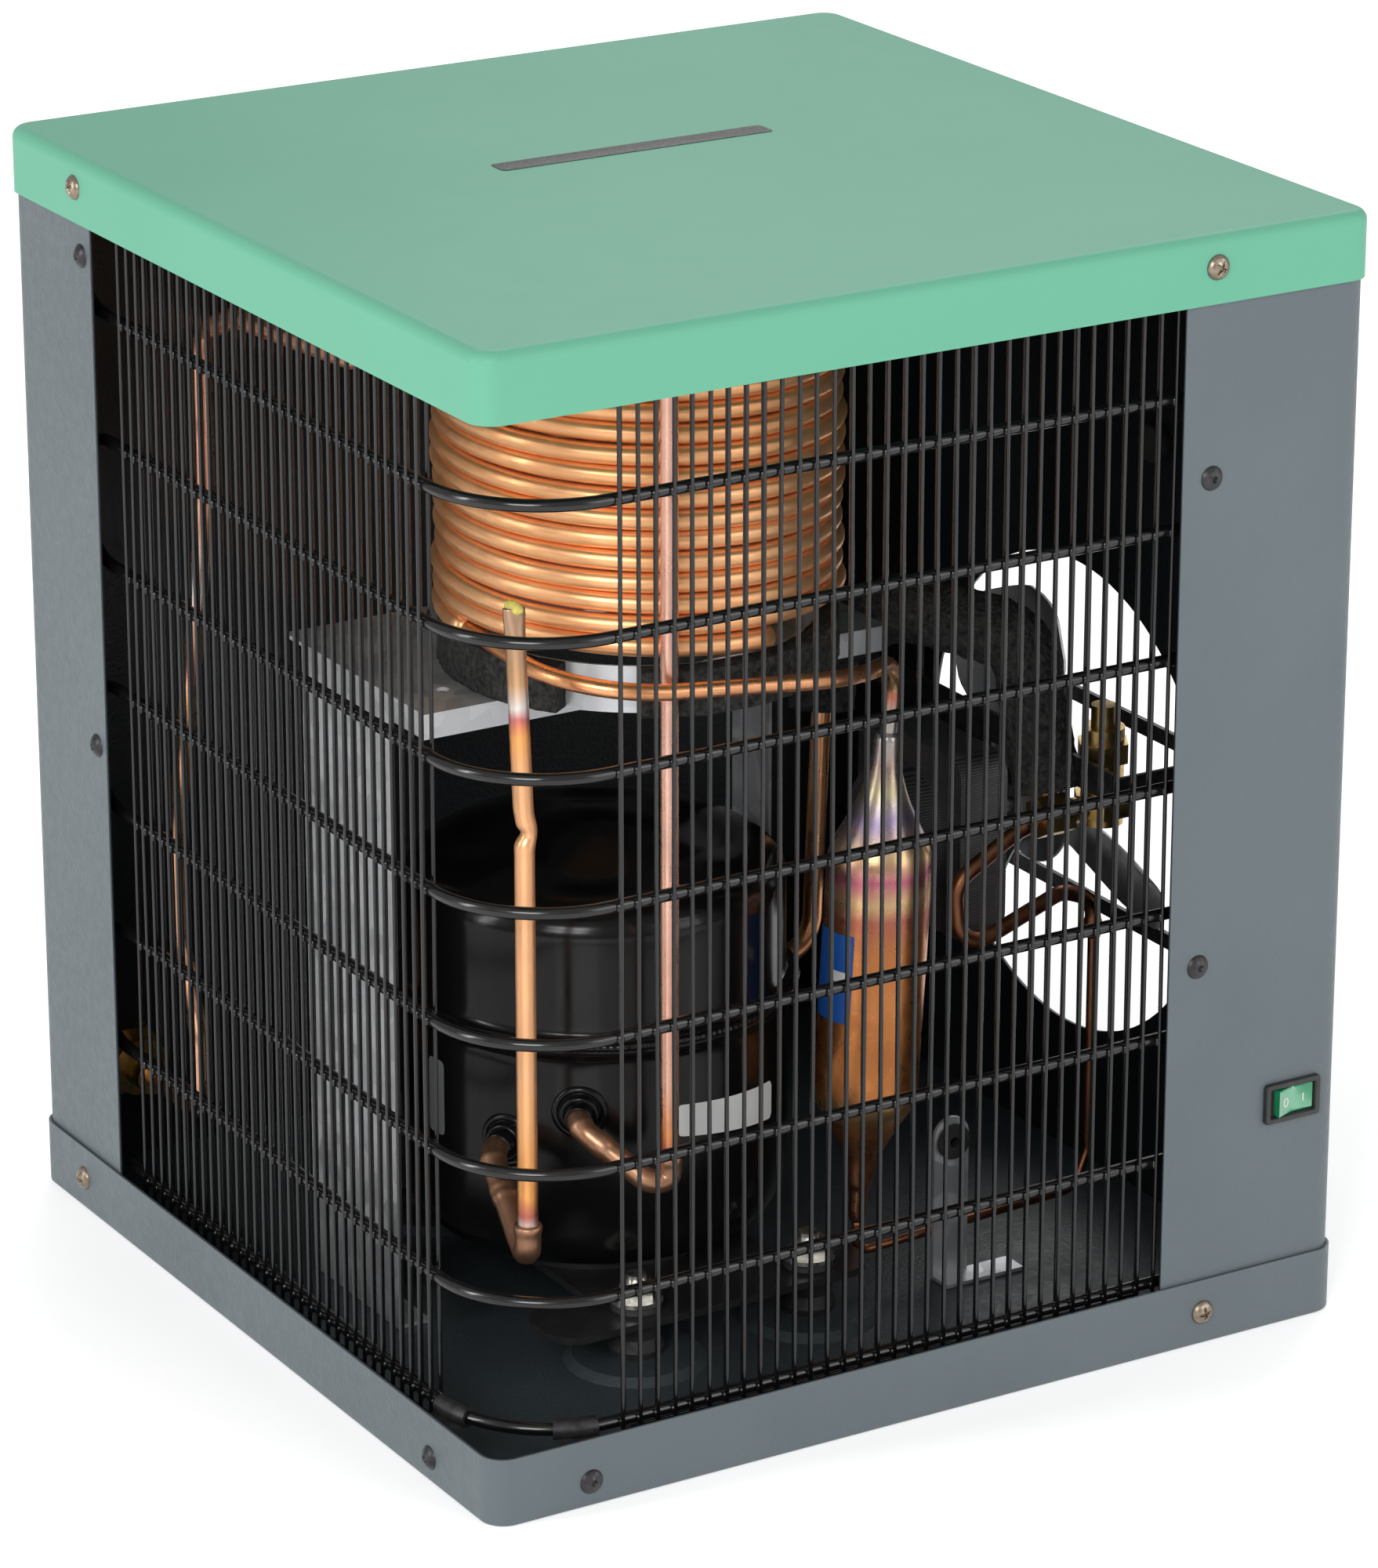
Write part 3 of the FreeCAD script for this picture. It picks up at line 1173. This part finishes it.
def power_plug():
    """Straight three-pin plug lying beside the coil."""
    length, half = 36.0, 12.0
    grip = rounded_block(-half, half, -13, 13, 0, length, 6)
    sleeve = revolved([(0, -22), (5.0, -22), (8.0, 0.5), (0, 0.5)])
    blades = [box(-3.2, 3.2, y - 0.75, y + 0.75, length, length + 17) for y in (-6.35, 6.35)]
    earth = cylinder(2.4, V(8.0, 0, length), UP, 20)
    plug = fuse([grip, sleeve, earth] + blades)
    plug.Placement = FreeCAD.Placement(PLUG_PLACE, FreeCAD.Rotation(UP, V(-1, 0.12, 0)))
    return plug


# ---------------------------------------------------------------- all nodes
def fastener_group(make, items):
    return Part.makeCompound([make(*item) for item in items])


def build():
    parts["base_tray"] = base_tray()
    parts["side_panel"] = side_panel()
    parts["rear_panel"] = rear_panel()
    parts["top_cover"] = top_cover()
    screws = [(face, along, COVER_SCREW_Z, HALF_CASE) for face, along in COVER_SCREWS]
    screws += [(face, along, TRAY_SCREW_Z, HALF_CASE) for face, along in TRAY_SCREWS]
    rivets = [(face, along, height, PANEL_OUTER) for face, along, height in PANEL_RIVETS]
    rivets += [(face, along, CLIP_RIVET_Z, HALF_CASE) for face, along in CLIP_RIVETS]
    parts["case_screws"] = fastener_group(pan_head_screw, screws)
    parts["panel_rivets"] = fastener_group(dome_rivet, rivets)

    parts["condenser_tube"] = condenser_tube()
    parts["condenser_wires_front"] = condenser_wires("front")
    parts["condenser_wires_left"] = condenser_wires("left")
    parts["condenser_clips"] = condenser_clips()

    parts["switch_housing"] = switch_housing()
    parts["switch_rocker"] = switch_rocker()

    parts["compressor_lower_shell"] = lower_shell()
    parts["compressor_upper_shell"] = upper_shell()
    parts["compressor_base"] = compressor_base()
    parts["foot_grommets"] = foot_grommets()
    parts["foot_bolts"] = foot_bolts()
    parts["hermetic_terminal"] = hermetic_terminal()
    parts["terminal_cover"] = terminal_cover()
    parts["start_relay"] = terminal_box(91, 101, 13, 88, 106)
    parts["overload_protector"] = terminal_box(91, 101, 13, 62, 78)

    parts["stator"] = stator()
    parts["stator_windings"] = stator_windings()
    parts["rotor"] = rotor()
    parts["crankshaft"] = crankshaft()
    parts["cylinder_block"] = cylinder_block()
    parts["piston"] = piston()
    parts["wrist_pin"] = wrist_pin()
    parts["connecting_rod"] = connecting_rod()
    parts["valve_plate"] = valve_plate()
    parts["cylinder_head"] = cylinder_head()
    parts["head_bolts"] = head_bolts()
    parts["suction_muffler"] = suction_muffler()
    parts["shock_loop"] = shock_loop()
    parts["suspension_springs"] = suspension_springs()

    parts["process_tube"] = process_tube()
    parts["discharge_tube"] = discharge_tube()
    parts["suction_line"] = suction_line()
    parts["foam_wrapped_line"] = foam_wrapped_line()
    parts["bypass_valve"] = bypass_valve()
    parts["filter_drier"] = filter_drier()
    parts["liquid_line"] = liquid_line()
    parts["expansion_line"] = expansion_line()
    parts["heat_exchanger_coil_a"] = heat_exchanger_coil(COIL_A_TURNS, COIL_A_START, coil_a_bottom())
    parts["heat_exchanger_coil_b"] = heat_exchanger_coil(COIL_B_TURNS, COIL_B_START, coil_b_bottom())
    parts["foam_pad"] = foam_pad()
    parts["coil_shelf"] = coil_shelf()
    parts["left_copper_line"] = left_copper_line()
    parts["air_outlet_line"] = air_outlet_line()
    parts["line_bracket"] = line_bracket()
    parts["bracket_grommet"] = bracket_grommet()
    parts["air_ports"] = air_ports()
    parts["condensate_drain"] = condensate_drain()

    parts["fan_motor"] = fan_motor()
    parts["fan_bracket"] = fan_bracket()
    parts["fan"] = fan_blades()

    parts["cord_strain_relief"] = cord_strain_relief()
    parts["power_cord"] = power_cord()
    parts["power_cord_coil"] = power_cord_coil()
    parts["power_plug"] = power_plug()


build()
os.makedirs("parts", exist_ok=True)
for name, shape in parts.items():
    shape.exportStep("parts/" + name + ".step")
    if not shape.isValid() or shape.Volume <= 0:
        print("check", name, shape.isValid(), round(shape.Volume))
print(len(parts), "parts written")
